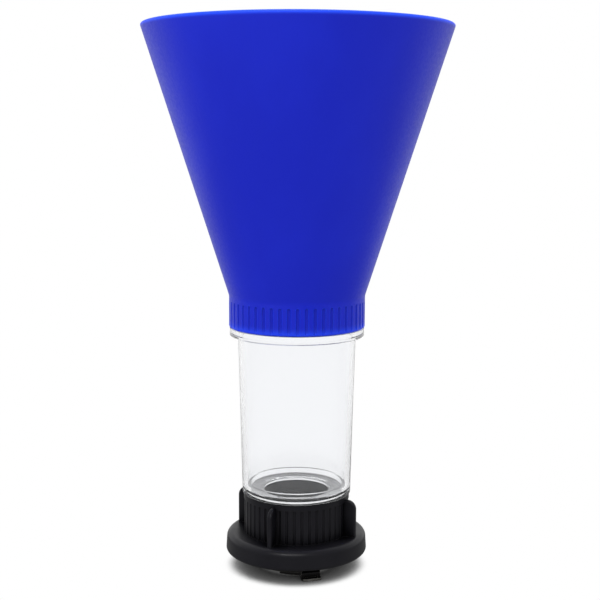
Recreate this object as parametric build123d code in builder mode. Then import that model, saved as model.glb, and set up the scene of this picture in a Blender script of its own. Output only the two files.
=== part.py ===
from build123d import *
import os
from math import radians, sin

# Spill-free oil filling funnel.
#
# A wide cone screws onto a clear reservoir cup, the cup screws into a winged adapter,
# and a stamped steel bayonet under the adapter locks into the engine's filler neck.
# Both screws are right-handed, so turning a piece about +Z lifts it.
#
# Frame: millimetres, Z is the axis that all pieces share, the ground is Z = 0 and the
# front is -Y. Angles are measured about +Z from +X.

os.makedirs("parts", exist_ok=True)

# --- Driving dimensions -----------------------------------------------------------

# Threads: one coarse trapezoidal ridge, the same on both screws
thread_pitch = 4.0
thread_turns = 1.6
thread_depth = 1.0
thread_root_width = 2.3
thread_crest_width = 1.1
thread_clearance = 0.5
thread_bite = 0.4

# Funnel: cone, throat and ribbed collar
mouth_radius = 76.9
mouth_height = 273.1
cone_wall = 2.3
rim_round = 1.0
neck_radius = 34.2
neck_height = 140.2
neck_round = 6.0
throat_radius = 27.8
throat_lip = 1.5
collar_foot = 124.1
collar_foot_round = 1.0
collar_ceiling = 135.6
collar_groove_count = 50
collar_groove_round = 1.1
collar_groove_depth = 0.6
collar_groove_top = 138.0
collar_groove_foot = 124.9
collar_groove_angle = -89.3

# Reservoir cup: threaded neck, lip, tapered wall, stepped floor and threaded spigot
cup_neck_top = 134.2
cup_neck_radius = 30.3
cup_neck_bore = 27.7
lip_radius = 33.9
lip_top = 123.9
lip_foot = 119.9
lip_round = 0.4
cup_shoulder_radius = 29.8
cup_foot = 39.0
cup_foot_radius = 27.6
cup_foot_round = 0.15
ledge_height = 44.0
ledge_outer_radius = 25.1
ledge_radius = 23.4
floor_edge_height = 41.5
floor_hole_height = 40.45
drain_radius = 16.6
drain_edge_round = 0.2
spigot_radius = 18.9
spigot_foot = 25.2

# Adapter: fluted grip under a plain band, wings, skirt ring and plug
adapter_top = 38.8
band_radius = 27.0
band_foot = 35.7
band_top_round = 0.5
grip_radius = 26.7
grip_flute_count = 44
grip_flute_round = 0.95
grip_flute_depth = 0.55
grip_flute_angle = -2.0
seal_ledge = 23.6
adapter_drain_radius = 17.0
skirt_top = 18.2
skirt_top_radius = 35.5
skirt_top_round = 3.0
skirt_foot = 7.9
skirt_foot_radius = 36.15
skirt_foot_round = 1.8
recess_radius = 31.9
recess_ceiling = 11.2
plug_radius = 22.2
wing_count = 4
wing_angle = -24.0
wing_radius = 32.9
wing_top = 37.1
wing_foot = 12.0
wing_thickness = 2.3
wing_corner_round = 4.5
wing_edge_round = 0.7

# Steel bayonet: flat plate, bent ears that the whole object stands on, and cam lips
ear_count = 3
ear_angle = -73.0
ear_width = 9.8
ear_reach = 28.0
ear_corner_round = 1.2
leg_radius = 25.3
plate_thickness = 1.2
plate_foot = 3.0
plate_radius = 22.9
plate_hole_radius = 17.5
bend_round = 1.4
cam_arc = 26.0
cam_lead = 36.0
cam_drop = 0.7

# Rivets that hold the plate to the plug, midway between the ears
rivet_circle_radius = 19.8
rivet_shank_radius = 1.2
rivet_hole_clearance = 0.1
rivet_depth = 5.0
rivet_head_radius = 2.2
rivet_head_height = 1.1
rivet_head_round = 0.8

# Seals and gasket
collar_seal_radius = 31.5
base_seal_bore = 16.9
gasket_thickness = 2.5
gasket_bore_clearance = 0.3
gasket_edge_clearance = 0.4
seal_edge_round = 0.3

# --- Dimensions that follow -------------------------------------------------------

plate_top = plate_foot + plate_thickness
collar_bore = cup_neck_radius + thread_depth + thread_clearance
socket_bore = spigot_radius + thread_depth + thread_clearance
collar_thread_start = collar_foot + 2.4
spigot_thread_start = spigot_foot + 2.8
rivet_angle = ear_angle + 180.0 / ear_count
throat_top = collar_ceiling + throat_lip
groove_axis_radius = neck_radius - collar_groove_depth + collar_groove_round
groove_middle = (collar_groove_top + collar_groove_foot) / 2
groove_length = collar_groove_top - collar_groove_foot
flute_axis_radius = grip_radius - grip_flute_depth + grip_flute_round
flute_length = band_foot - skirt_top


def thread_ridge(wall_radius, outward, start_height, start_angle):
    """One helical ridge of trapezoidal section, rooted a little way inside its wall."""
    side = 1 if outward else -1
    root = -side * thread_bite
    crest = side * thread_depth
    with BuildPart() as ridge:
        with BuildLine() as path:
            Helix(thread_pitch, thread_pitch * thread_turns, wall_radius)
        start = path.line @ 0
        heading = path.line % 0
        with BuildSketch(Plane(origin=start, x_dir=(1, 0, 0), z_dir=heading)):
            with BuildLine():
                Polyline(
                    (root, -thread_root_width / 2),
                    (crest, -thread_crest_width / 2),
                    (crest, thread_crest_width / 2),
                    (root, thread_root_width / 2),
                    close=True,
                )
            make_face()
        sweep(path=path.line, is_frenet=True)
    return ridge.part.moved(Location((0, 0, start_height), (0, 0, start_angle)))


def flat_ring(outer_radius, bore_radius, foot, thickness):
    """A flat sealing ring with softened edges."""
    with BuildPart() as ring:
        with BuildSketch(Plane.XY.offset(foot)):
            Circle(outer_radius)
            Circle(bore_radius, mode=Mode.SUBTRACT)
        extrude(amount=thickness)
        fillet(ring.edges().filter_by(GeomType.CIRCLE), seal_edge_round)
    return ring


def round_corner(section, place, radius):
    """Rounds the corner of a section that lies nearest to a place (radius, height)."""
    fillet(section.vertices().sort_by_distance(place)[0], radius)


# --- Funnel -----------------------------------------------------------------------

collar_thread = thread_ridge(collar_bore, False, collar_thread_start, 180)

with BuildPart() as collar_groove:
    with BuildSketch(Plane.XZ):
        SlotOverall(groove_length, 2 * collar_groove_round, rotation=90)
        split(bisect_by=Plane.YZ)
    revolve(axis=Axis.Z)

with BuildPart() as funnel_cone:
    with BuildSketch(Plane.XZ) as funnel_section:
        with BuildLine():
            Polyline(
                (collar_bore, collar_foot),
                (neck_radius, collar_foot),
                (neck_radius, neck_height),
                (mouth_radius, mouth_height),
                (mouth_radius - cone_wall, mouth_height),
                (neck_radius - cone_wall, neck_height),
                (throat_radius, throat_top),
                (throat_radius, collar_ceiling),
                (collar_bore, collar_ceiling),
                close=True,
            )
        make_face()
        round_corner(funnel_section, (mouth_radius, mouth_height), rim_round)
        round_corner(funnel_section, (neck_radius, neck_height), neck_round)
        round_corner(funnel_section, (neck_radius, collar_foot), collar_foot_round)
    revolve(axis=Axis.Z)
    with Locations((0, 0, groove_middle)):
        with PolarLocations(groove_axis_radius, collar_groove_count, collar_groove_angle):
            add(collar_groove.part, mode=Mode.SUBTRACT)
    add(collar_thread)
funnel_cone.part.label = "funnel_cone"
export_step(funnel_cone.part, "parts/funnel_cone.step")

collar_seal = flat_ring(
    collar_seal_radius, throat_radius, cup_neck_top, collar_ceiling - cup_neck_top
)
collar_seal.part.label = "collar_seal"
export_step(collar_seal.part, "parts/collar_seal.step")

# --- Reservoir cup ----------------------------------------------------------------

neck_thread = thread_ridge(cup_neck_radius, True, collar_thread_start, 0)
spigot_thread = thread_ridge(spigot_radius, True, spigot_thread_start, 0)

with BuildPart() as reservoir_cup:
    with BuildSketch(Plane.XZ) as cup_section:
        with BuildLine():
            Polyline(
                (drain_radius, spigot_foot),
                (spigot_radius, spigot_foot),
                (spigot_radius, cup_foot),
                (cup_foot_radius, cup_foot),
                (cup_shoulder_radius, lip_foot),
                (lip_radius, lip_foot),
                (lip_radius, lip_top),
                (cup_neck_radius, lip_top),
                (cup_neck_radius, cup_neck_top),
                (cup_neck_bore, cup_neck_top),
                (cup_neck_bore, lip_foot),
                (ledge_outer_radius, ledge_height),
                (ledge_radius, ledge_height),
                (ledge_radius, floor_edge_height),
                (drain_radius, floor_hole_height),
                close=True,
            )
        make_face()
        round_corner(cup_section, (cup_foot_radius, cup_foot), cup_foot_round)
        round_corner(cup_section, (lip_radius, lip_foot), lip_round)
        round_corner(cup_section, (drain_radius, floor_hole_height), drain_edge_round)
    revolve(axis=Axis.Z)
    add(neck_thread)
    add(spigot_thread)
reservoir_cup.part.label = "reservoir_cup"
export_step(reservoir_cup.part, "parts/reservoir_cup.step")

base_seal = flat_ring(spigot_radius, base_seal_bore, seal_ledge, spigot_foot - seal_ledge)
base_seal.part.label = "base_seal"
export_step(base_seal.part, "parts/base_seal.step")

# --- Adapter ----------------------------------------------------------------------

socket_thread = thread_ridge(socket_bore, False, spigot_thread_start, 180)

with BuildPart() as wing:
    with BuildSketch(Plane.XZ) as wing_side:
        with BuildLine():
            Polyline(
                (grip_radius - 1, wing_foot),
                (wing_radius, wing_foot),
                (wing_radius, wing_top),
                (grip_radius - 1, wing_top),
                close=True,
            )
        make_face()
        top_corner = wing_side.vertices().group_by(Axis.Y)[-1].sort_by(Axis.X)[-1]
        fillet(top_corner, wing_corner_round)
    extrude(amount=wing_thickness / 2, both=True)
    flat_sides = wing.faces().sort_by(Axis.Y)
    rims = flat_sides[0].edges() + flat_sides[-1].edges()
    rims = rims.filter_by_position(Axis.X, grip_radius, wing_radius)
    fillet(rims.filter_by_position(Axis.Z, wing_foot + 1, wing_top), wing_edge_round)

with BuildPart() as flute:
    Cylinder(grip_flute_round, flute_length)

with BuildPart() as adapter_body:
    with BuildSketch(Plane.XZ) as adapter_section:
        with BuildLine():
            Polyline(
                (skirt_foot_radius, skirt_foot),
                (recess_radius, skirt_foot),
                (recess_radius, recess_ceiling),
                (plug_radius, recess_ceiling),
                (plug_radius, plate_top),
                (adapter_drain_radius, plate_top),
                (adapter_drain_radius, seal_ledge),
                (socket_bore, seal_ledge),
                (socket_bore, adapter_top),
                (band_radius, adapter_top),
                (band_radius, band_foot),
                (grip_radius, band_foot),
                (grip_radius, skirt_top),
                (skirt_top_radius, skirt_top),
                close=True,
            )
        make_face()
        round_corner(adapter_section, (skirt_foot_radius, skirt_foot), skirt_foot_round)
        round_corner(adapter_section, (skirt_top_radius, skirt_top), skirt_top_round)
        round_corner(adapter_section, (band_radius, adapter_top), band_top_round)
    revolve(axis=Axis.Z)
    with Locations((0, 0, skirt_top + flute_length / 2)):
        with PolarLocations(flute_axis_radius, grip_flute_count, grip_flute_angle):
            add(flute.part, mode=Mode.SUBTRACT)
    with PolarLocations(0, wing_count, start_angle=wing_angle):
        add(wing.part)
    with PolarLocations(rivet_circle_radius, ear_count, start_angle=rivet_angle):
        with Locations((0, 0, plate_top + rivet_depth / 2)):
            Cylinder(rivet_shank_radius, rivet_depth, mode=Mode.SUBTRACT)
    add(socket_thread)
adapter_body.part.label = "adapter_body"
export_step(adapter_body.part, "parts/adapter_body.step")

filler_gasket = flat_ring(
    recess_radius - gasket_edge_clearance,
    plug_radius + gasket_bore_clearance,
    recess_ceiling - gasket_thickness,
    gasket_thickness,
)
filler_gasket.part.label = "filler_gasket"
export_step(filler_gasket.part, "parts/filler_gasket.step")

# --- Steel bayonet ----------------------------------------------------------------

with BuildPart() as ear:
    with BuildSketch(Plane.XZ) as ear_section:
        with BuildLine():
            Polyline(
                (plate_radius - 2, plate_top),
                (leg_radius, plate_top),
                (leg_radius, plate_thickness),
                (ear_reach, plate_thickness),
                (ear_reach, 0),
                (leg_radius - plate_thickness, 0),
                (leg_radius - plate_thickness, plate_foot),
                (plate_radius - 2, plate_foot),
                close=True,
            )
        make_face()
        corners = ear_section.vertices()
        outer_bends = corners.sort_by_distance((leg_radius, plate_top))[:1]
        outer_bends += corners.sort_by_distance((leg_radius - plate_thickness, 0))[:1]
        fillet(outer_bends, bend_round)
    extrude(amount=ear_width / 2, both=True)
    ear_corners = ear.edges().filter_by(Axis.Z).group_by(Axis.X)[-1]
    fillet(ear_corners, ear_corner_round)

with BuildPart() as cam:
    with BuildSketch(Plane.XZ):
        with BuildLine():
            Polyline(
                (plate_radius - 2, plate_top),
                (leg_radius, plate_top),
                (leg_radius, plate_foot - cam_drop),
                (leg_radius - plate_thickness, plate_foot - cam_drop),
                (leg_radius - plate_thickness, plate_foot),
                (plate_radius - 2, plate_foot),
                close=True,
            )
        make_face()
    revolve(axis=Axis.Z, revolution_arc=cam_arc)
    cam_run = leg_radius * sin(radians(cam_arc))
    split(bisect_by=Plane(origin=(0, 0, plate_foot), z_dir=(0, cam_drop, cam_run)))

with BuildPart() as bayonet_ring:
    with BuildSketch(Plane.XY.offset(plate_foot)):
        Circle(plate_radius)
        Circle(plate_hole_radius, mode=Mode.SUBTRACT)
        with PolarLocations(rivet_circle_radius, ear_count, start_angle=rivet_angle):
            Circle(rivet_shank_radius + rivet_hole_clearance, mode=Mode.SUBTRACT)
    extrude(amount=plate_thickness)
    with PolarLocations(0, ear_count, start_angle=ear_angle):
        add(ear.part)
    with PolarLocations(0, ear_count, start_angle=ear_angle - cam_lead):
        add(cam.part)
bayonet_ring.part.label = "bayonet_ring"
export_step(bayonet_ring.part, "parts/bayonet_ring.step")

with BuildPart() as rivet:
    with BuildSketch(Plane.XZ) as rivet_section:
        with BuildLine():
            Polyline(
                (0, plate_foot - rivet_head_height),
                (rivet_head_radius, plate_foot - rivet_head_height),
                (rivet_head_radius, plate_foot),
                (rivet_shank_radius, plate_foot),
                (rivet_shank_radius, plate_top + rivet_depth),
                (0, plate_top + rivet_depth),
                close=True,
            )
        make_face()
        head_edge = rivet_section.vertices().group_by(Axis.Y)[0].sort_by(Axis.X)[-1]
        fillet(head_edge, rivet_head_round)
    revolve(axis=Axis.Z)

with BuildPart() as bayonet_rivets:
    with PolarLocations(rivet_circle_radius, ear_count, start_angle=rivet_angle):
        add(rivet.part)
bayonet_rivets.part.label = "bayonet_rivets"
export_step(bayonet_rivets.part, "parts/bayonet_rivets.step")
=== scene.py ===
"""Looks for the spill-free oil filling funnel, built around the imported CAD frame. Metres."""

import math

import bpy
from mathutils import Matrix, Vector

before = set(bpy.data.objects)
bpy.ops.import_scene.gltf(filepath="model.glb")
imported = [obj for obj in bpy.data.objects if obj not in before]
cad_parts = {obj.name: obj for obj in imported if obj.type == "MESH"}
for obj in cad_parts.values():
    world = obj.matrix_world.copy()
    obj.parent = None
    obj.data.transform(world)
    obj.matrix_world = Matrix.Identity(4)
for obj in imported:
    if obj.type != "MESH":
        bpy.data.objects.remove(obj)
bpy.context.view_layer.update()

# --- Camera: the photograph's viewing angle -----------------------------------------

LENS_MM = 72.6
SENSOR_MM = 36.0
CAMERA_DISTANCE = 0.604
CAMERA_HEIGHT = 0.2199
CAMERA_RIGHT = 0.0015
CAMERA_PITCH = 0.1357
CAMERA_ROLL = 0.0036


def make_camera():
    data = bpy.data.cameras.new("camera")
    data.lens = LENS_MM
    data.sensor_width = SENSOR_MM
    data.clip_start = 0.01
    data.clip_end = 50
    camera = bpy.data.objects.new("camera", data)
    bpy.context.scene.collection.objects.link(camera)
    place = Matrix.Translation((CAMERA_RIGHT, -CAMERA_DISTANCE, CAMERA_HEIGHT))
    tilt = Matrix.Rotation(math.pi / 2 - CAMERA_PITCH, 4, "X")
    roll = Matrix.Rotation(CAMERA_ROLL, 4, "Z")
    camera.matrix_world = place @ tilt @ roll
    bpy.context.scene.camera = camera


# --- Node helpers --------------------------------------------------------------------


class Nodes:
    """A short way to write a node tree. An input is a number, a colour or a node's output."""

    def __init__(self, tree):
        self.tree = tree
        tree.nodes.clear()

    def new(self, kind, inputs=None, **settings):
        node = self.tree.nodes.new(kind)
        for name, value in settings.items():
            setattr(node, name, value)
        for name, value in (inputs or {}).items():
            self.plug(value, node.inputs[name])
        return node

    def plug(self, value, socket):
        if isinstance(value, bpy.types.NodeSocket):
            self.tree.links.new(value, socket)
        else:
            socket.default_value = value

    def maths(self, operation, a, b=0.0):
        return self.new("ShaderNodeMath", {0: a, 1: b}, operation=operation).outputs[0]

    def times(self, first, *others):
        for other in others:
            first = self.maths("MULTIPLY", first, other)
        return first

    def largest(self, first, *others):
        for other in others:
            first = self.maths("MAXIMUM", first, other)
        return first

    def place(self):
        """Where the shaded point is on the object, in the row frame."""
        return self.new("ShaderNodeTexCoord").outputs["Object"]

    def direction(self):
        """Which way a ray leaves the scene, for the world."""
        return self.new("ShaderNodeTexCoord").outputs["Generated"]

    def stretched(self, scale):
        """The place, scaled differently along each axis, for streaks."""
        node = self.new("ShaderNodeMapping", {"Vector": self.place(), "Scale": scale})
        return node.outputs[0]

    def polar(self):
        """(angle about Z in turns, radius, height) of the shaded point."""
        xyz = self.new("ShaderNodeSeparateXYZ", {0: self.place()})
        x, y, z = xyz.outputs
        turn = self.maths("DIVIDE", self.maths("ARCTAN2", y, x), 2 * math.pi)
        squares = self.maths("ADD", self.times(x, x), self.times(y, y))
        radius = self.maths("SQRT", squares)
        return turn, radius, z

    def noise(self, scale, where=None, detail=3.0, roughness=0.55):
        where = where or self.place()
        inputs = {"Vector": where, "Scale": scale, "Detail": detail, "Roughness": roughness}
        return self.new("ShaderNodeTexNoise", inputs).outputs["Fac"]

    def range(self, value, low, high, to_low, to_high):
        """A smooth step: to_low where the value is at low, and to_high where it is at high."""
        inputs = {0: value, 1: low, 2: high, 3: to_low, 4: to_high}
        node = self.new("ShaderNodeMapRange", inputs, interpolation_type="SMOOTHSTEP")
        return node.outputs[0]

    def blend(self, fac, a, b):
        """The number a where fac is 0 and b where it is 1."""
        node = self.new("ShaderNodeMix", data_type="FLOAT")
        for value, socket in zip((fac, a, b), (node.inputs[0], node.inputs[2], node.inputs[3])):
            self.plug(value, socket)
        return node.outputs[0]

    def mix(self, fac, a, b):
        """The colour a where fac is 0 and b where it is 1."""
        node = self.new("ShaderNodeMix", data_type="RGBA")
        self.plug(fac, node.inputs[0])
        self.plug(a, node.inputs[6])
        self.plug(b, node.inputs[7])
        return node.outputs[2]

    def bump(self, height, distance, strength=1.0, normal=None):
        inputs = {"Height": height, "Distance": distance, "Strength": strength}
        if normal is not None:
            inputs["Normal"] = normal
        return self.new("ShaderNodeBump", inputs).outputs[0]

    def edges(self, radius):
        """1 on sharp edges and 0 on flats, from how far a bevelled normal leans away."""
        bevel = self.new("ShaderNodeBevel", {"Radius": radius}, samples=4)
        true_normal = self.new("ShaderNodeNewGeometry").outputs["Normal"]
        normals = {0: bevel.outputs[0], 1: true_normal}
        dot = self.new("ShaderNodeVectorMath", normals, operation="DOT_PRODUCT")
        return self.range(dot.outputs["Value"], 0.80, 0.995, 1.0, 0.0)

    def openness(self, reach, closed, opened):
        """0 in tight corners and grooves, and 1 on open surfaces."""
        sky = self.new("ShaderNodeAmbientOcclusion", {"Distance": reach}, samples=8)
        return self.range(sky.outputs["AO"], closed, opened, 0.0, 1.0)


def material(name):
    made = bpy.data.materials.new(name)
    made.use_nodes = True
    return made, Nodes(made.node_tree)


def finish_material(nodes, inputs):
    surface = nodes.new("ShaderNodeBsdfPrincipled", inputs)
    nodes.new("ShaderNodeOutputMaterial", {"Surface": surface.outputs[0]})


# --- Heights and radii where a material changes, each at or just past a CAD edge --------

# Where the painted glow on the funnel's rim and on the collar's foot starts and ends
RIM_GLOW_FOOT = 0.2708
RIM_GLOW_TOP = 0.2722
COLLAR_GLOW_FOOT = 0.1249
COLLAR_GLOW_TOP = 0.1285
CUP_FLOOR_TOP = 0.0417
CUP_LEDGE_RADIUS = 0.0235
CUP_DRAIN_RADIUS = 0.0167
CUP_SPIGOT_TOP = 0.0384
# Where the painted glint on the ends of the ear feet starts and ends
EAR_TIP_INSIDE = 0.0272
EAR_TIP_OUTSIDE = 0.0277
BLUR = 0.0001

# --- Materials -----------------------------------------------------------------------

WHITE = (1.0, 1.0, 1.0, 1.0)


def blue_plastic():
    """Satin moulded plastic: texture, flow clouds, paler edges, painted shade in creases and
    grooves, and a painted glow on the rim and collar foot.
    """
    made, nodes = material("blue_plastic")
    clouds = nodes.noise(14.0, nodes.stretched((1.0, 1.0, 0.45)), detail=4.0)
    grain = nodes.noise(2600.0, detail=2.0)
    fine = nodes.noise(700.0, detail=3.0)
    # The darkest blue is painted shade, mixed into creases and grooves by ambient occlusion in
    # the body line.
    crease_shade = (0.0008, 0.005, 0.25, 1.0)
    deep = (0.0012, 0.0090, 0.415, 1.0)
    light = (0.0025, 0.0125, 0.465, 1.0)
    # The pale bright blue is painted glow on the rim and collar foot, and wear on the paler
    # edges.
    glow_and_wear = (0.012, 0.070, 0.88, 1.0)
    flow = nodes.mix(nodes.range(clouds, 0.35, 0.65, 0.0, 1.0), deep, light)
    body = nodes.mix(nodes.openness(0.0025, 0.55, 0.92), crease_shade, flow)
    height = nodes.polar()[2]
    # Painted glow: the rim's top and the collar's foot are painted lighter, as if lit through
    # the plastic.
    rim = nodes.range(height, RIM_GLOW_FOOT, RIM_GLOW_TOP, 0.0, 0.75)
    foot = nodes.range(height, COLLAR_GLOW_FOOT, COLLAR_GLOW_TOP, 0.45, 0.0)
    edges = nodes.times(nodes.edges(0.0007), 0.55)
    colour = nodes.mix(nodes.largest(rim, foot, edges), body, glow_and_wear)
    rough = nodes.range(fine, 0.3, 0.7, 0.40, 0.50)
    texture = nodes.bump(grain, 0.00005, 0.5, nodes.bump(fine, 0.00006, 0.35))
    finish_material(
        nodes,
        {
            "Base Color": colour,
            "Roughness": rough,
            "Specular IOR Level": 0.23,
            "Normal": texture,
            "Subsurface Weight": 0.12,
            "Subsurface Radius": (0.05, 0.1, 1.0),
            "Subsurface Scale": 0.002,
        },
    )
    return made


def clear_plastic():
    """Clear moulded plastic: faint vertical draw lines, a cool tint and a milky floor."""
    made, nodes = material("clear_plastic")
    turn, radius, height = nodes.polar()
    below_ledge = nodes.range(height, CUP_FLOOR_TOP, CUP_FLOOR_TOP + 2 * BLUR, 1.0, 0.0)
    inside_ledge = nodes.range(radius, CUP_LEDGE_RADIUS, CUP_LEDGE_RADIUS + BLUR, 1.0, 0.0)
    off_drain = nodes.range(radius, CUP_DRAIN_RADIUS, CUP_DRAIN_RADIUS + 2 * BLUR, 0.0, 0.15)
    floor_milk = nodes.times(below_ledge, inside_ledge, off_drain)
    spigot_milk = nodes.range(height, CUP_SPIGOT_TOP, CUP_SPIGOT_TOP + 5 * BLUR, 0.05, 0.0)
    milk = nodes.largest(floor_milk, spigot_milk)
    unrolled = {0: nodes.times(turn, 40.0), 2: nodes.times(height, 12.0)}
    around = nodes.new("ShaderNodeCombineXYZ", unrolled)
    streaks = nodes.noise(1.0, around.outputs[0], detail=3.0)
    ripple = nodes.noise(90.0, detail=1.0)
    haze = nodes.noise(300.0, detail=2.0)
    surface_bump = nodes.bump(streaks, 0.00006, 0.2, nodes.bump(ripple, 0.00004, 0.15))
    finish_material(
        nodes,
        {
            "Base Color": (0.98, 0.986, 0.998, 1.0),
            "Roughness": nodes.range(haze, 0.4, 0.8, 0.005, 0.02),
            "IOR": 1.49,
            "Transmission Weight": nodes.maths("SUBTRACT", 0.985, milk),
            "Normal": surface_bump,
        },
    )
    return made


def black_plastic():
    """Black moulded nylon: fine grain, slight mottling, painted shade in corners and grooves,
    edges rubbed a little paler.
    """
    made, nodes = material("black_plastic")
    mottle = nodes.noise(60.0, detail=4.0)
    grain = nodes.noise(2200.0, detail=3.0, roughness=0.6)
    open_faces = nodes.openness(0.012, 0.40, 0.85)
    # The near-black colour is painted shade, laid into corners and grooves by ambient occlusion.
    corner_shade = (0.0010, 0.0010, 0.0013, 1.0)
    rubbed = (0.035, 0.035, 0.038, 1.0)
    flat = nodes.mix(mottle, (0.0047, 0.0046, 0.0066, 1.0), (0.0079, 0.0077, 0.0102, 1.0))
    body = nodes.mix(open_faces, corner_shade, flat)
    colour = nodes.mix(nodes.times(nodes.edges(0.0006), 0.35), body, rubbed)
    rough = nodes.range(mottle, 0.3, 0.7, 0.30, 0.40)
    finish_material(
        nodes,
        {
            "Base Color": colour,
            "Roughness": rough,
            # Painted shade on reflections: the specular level drops in corners and grooves.
            "Specular IOR Level": nodes.range(open_faces, 0.0, 1.0, 0.05, 0.24),
            "Normal": nodes.bump(grain, 0.00006, 0.5),
        },
    )
    return made


def seal_rubber():
    """Matt grey-black rubber with a faint bloom."""
    made, nodes = material("seal_rubber")
    bloom = nodes.noise(120.0, detail=4.0)
    grain = nodes.noise(1500.0, detail=2.0)
    colour = nodes.mix(bloom, (0.012, 0.012, 0.012, 1.0), (0.035, 0.034, 0.033, 1.0))
    finish_material(
        nodes,
        {
            "Base Color": colour,
            "Roughness": nodes.range(bloom, 0.3, 0.7, 0.65, 0.85),
            "Specular IOR Level": 0.3,
            "Normal": nodes.bump(grain, 0.00005, 0.4),
        },
    )
    return made


def spring_steel():
    """Spring steel coloured nearly black, brighter where rubbed, with a painted glint on the
    ends of the ear feet.
    """
    made, nodes = material("spring_steel")
    lines = nodes.noise(1.0, nodes.stretched((90.0, 90.0, 3000.0)), detail=2.0)
    smudge = nodes.noise(180.0, detail=4.0)
    black = nodes.mix(smudge, (0.020, 0.020, 0.022, 1.0), (0.050, 0.048, 0.046, 1.0))
    radius = nodes.polar()[1]
    # Painted glint: the outer ends of the ear feet are coloured bright steel where they catch
    # the light.
    tip_glint = nodes.range(radius, EAR_TIP_INSIDE, EAR_TIP_OUTSIDE, 0.0, 1.0)
    bare_and_glint = nodes.largest(tip_glint, nodes.times(nodes.edges(0.0003), 0.5))
    colour = nodes.mix(bare_and_glint, black, (0.80, 0.78, 0.72, 1.0))
    finish_material(
        nodes,
        {
            "Base Color": colour,
            "Metallic": 1.0,
            "Roughness": nodes.range(smudge, 0.3, 0.7, 0.22, 0.38),
            "Normal": nodes.bump(lines, 0.00002, 0.3),
        },
    )
    return made


def rivet_steel():
    """Plated steel with small smudges and brighter rubbed edges."""
    made, nodes = material("rivet_steel")
    smudge = nodes.noise(240.0, detail=4.0)
    plate = nodes.mix(smudge, (0.38, 0.375, 0.36, 1.0), (0.55, 0.54, 0.52, 1.0))
    edges = nodes.times(nodes.edges(0.0003), 0.6)
    finish_material(
        nodes,
        {
            "Base Color": nodes.mix(edges, plate, (0.80, 0.79, 0.77, 1.0)),
            "Metallic": 1.0,
            "Roughness": nodes.range(smudge, 0.3, 0.7, 0.22, 0.38),
        },
    )
    return made


def paint(node, made):
    """Gives a CAD node's object its material."""
    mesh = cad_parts[node].data
    mesh.materials.clear()
    mesh.materials.append(made)


def paint_all():
    rubber = seal_rubber()
    paint("funnel_cone", blue_plastic())
    paint("reservoir_cup", clear_plastic())
    paint("adapter_body", black_plastic())
    for node in ("collar_seal", "base_seal", "filler_gasket"):
        paint(node, rubber)
    paint("bayonet_ring", spring_steel())
    paint("bayonet_rivets", rivet_steel())


# --- Studio --------------------------------------------------------------------------

# Brightness: the paper as the camera sees it, then what lights and reflects in the object
PAPER_LIGHT = 1.0
ROOM_LIGHT = 0.25
BACKDROP_LIGHT = 0.90
FLOOR_GLOSS = 0.25
FLOOR_BOUNCE = 0.80

# Where the room turns into the backdrop: a ray's lean to the back, and metres on the floor
ROOM_END, BACKDROP_START = -0.35, 0.40
FLOOR_NEAR, FLOOR_FAR = 0.05, 0.40

# The contact shadow: its reach in metres, and how open to the sky its deep and pale ends are
SHADOW_REACH = 0.05
DEEP_SHADOW, FULL_SHADOW = 0.02, 0.15
PALE_SHADOW, SHADOW_END = 0.26, 0.60
DEEP_SHADOW_LIGHT, FULL_SHADOW_LIGHT = 0.14, 0.42

FLOOR_SIZE = 6.0
AIM = Vector((0, 0, 0.14))


def seen_directly(nodes):
    """1 for what the camera sees, directly or through clear plastic, and 0 for light."""
    path = nodes.new("ShaderNodeLightPath").outputs
    return nodes.largest(path["Is Camera Ray"], path["Is Transmission Ray"])


def make_world():
    """A white backdrop, and a dimmer room on the camera's side for light and reflections."""
    world = bpy.data.worlds.new("studio")
    bpy.context.scene.world = world
    world.use_nodes = True
    nodes = Nodes(world.node_tree)
    towards = nodes.new("ShaderNodeSeparateXYZ", {0: nodes.direction()}).outputs[1]
    room = nodes.range(towards, ROOM_END, BACKDROP_START, ROOM_LIGHT, BACKDROP_LIGHT)
    strength = nodes.blend(seen_directly(nodes), room, PAPER_LIGHT)
    paper = nodes.new("ShaderNodeBackground", {"Color": WHITE, "Strength": strength})
    nodes.new("ShaderNodeOutputWorld", {"Surface": paper.outputs[0]})


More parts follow.
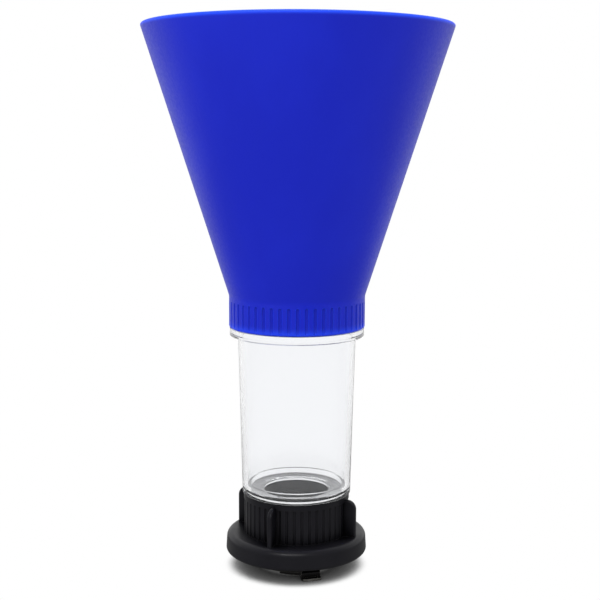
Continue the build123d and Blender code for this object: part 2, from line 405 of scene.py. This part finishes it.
def make_floor():
    """White paper that glows evenly, with a contact shadow where the object stands close."""
    mesh = bpy.data.meshes.new("floor")
    signs = ((-1, -1), (1, -1), (1, 1), (-1, 1))
    corners = [(FLOOR_SIZE * x, FLOOR_SIZE * y, 0) for x, y in signs]
    mesh.from_pydata(corners, [], [(0, 1, 2, 3)])
    floor = bpy.data.objects.new("floor", mesh)
    bpy.context.scene.collection.objects.link(floor)
    made, nodes = material("floor")
    occlusion = nodes.new("ShaderNodeAmbientOcclusion", {"Distance": SHADOW_REACH}, samples=16)
    sky = occlusion.outputs["AO"]
    lights = (DEEP_SHADOW_LIGHT, FULL_SHADOW_LIGHT)
    under = nodes.times(sky, nodes.range(sky, DEEP_SHADOW, FULL_SHADOW, *lights))
    open_floor = nodes.range(sky, PALE_SHADOW, SHADOW_END, 0.0, 1.0)
    shadow = nodes.blend(open_floor, under, PAPER_LIGHT)
    away = nodes.new("ShaderNodeSeparateXYZ", {0: nodes.place()}).outputs[1]
    gloss = nodes.range(away, FLOOR_NEAR, FLOOR_FAR, FLOOR_GLOSS, BACKDROP_LIGHT)
    is_diffuse = nodes.new("ShaderNodeLightPath").outputs["Is Diffuse Ray"]
    light = nodes.blend(is_diffuse, gloss, FLOOR_BOUNCE)
    strength = nodes.times(shadow, nodes.blend(seen_directly(nodes), light, PAPER_LIGHT))
    glow = nodes.new("ShaderNodeEmission", {"Color": WHITE, "Strength": strength})
    nodes.new("ShaderNodeOutputMaterial", {"Surface": glow.outputs[0]})
    mesh.materials.append(made)


def softbox(name, azimuth, elevation, distance, size, power, seen_in_gloss=False):
    """A rectangular lamp that faces the object's middle. Azimuth 0 is the front."""
    a, e = math.radians(azimuth), math.radians(elevation)
    out = Vector((math.sin(a) * math.cos(e), -math.cos(a) * math.cos(e), math.sin(e)))
    data = bpy.data.lights.new(name, "AREA")
    data.shape = "RECTANGLE"
    data.size, data.size_y = size
    data.energy = power
    light = bpy.data.objects.new(name, data)
    light.location = AIM + out * distance
    light.rotation_euler = out.to_track_quat("Z", "Y").to_euler()
    light.visible_camera = False
    light.visible_transmission = False
    light.visible_glossy = seen_in_gloss
    bpy.context.scene.collection.objects.link(light)


def make_lights():
    softbox("fill_left", -55, 5, distance=1.3, size=(1.2, 1.2), power=12)
    softbox("fill_right", 60, 5, distance=1.3, size=(1.2, 1.2), power=9)
    softbox("top", 0, 88, distance=0.9, size=(0.8, 0.8), power=14)
    softbox("key", -12, 26, distance=1.2, size=(0.7, 0.25), power=5, seen_in_gloss=True)


make_camera()
paint_all()
make_world()
make_lights()
make_floor()
bpy.context.scene.view_settings.view_transform = "Standard"
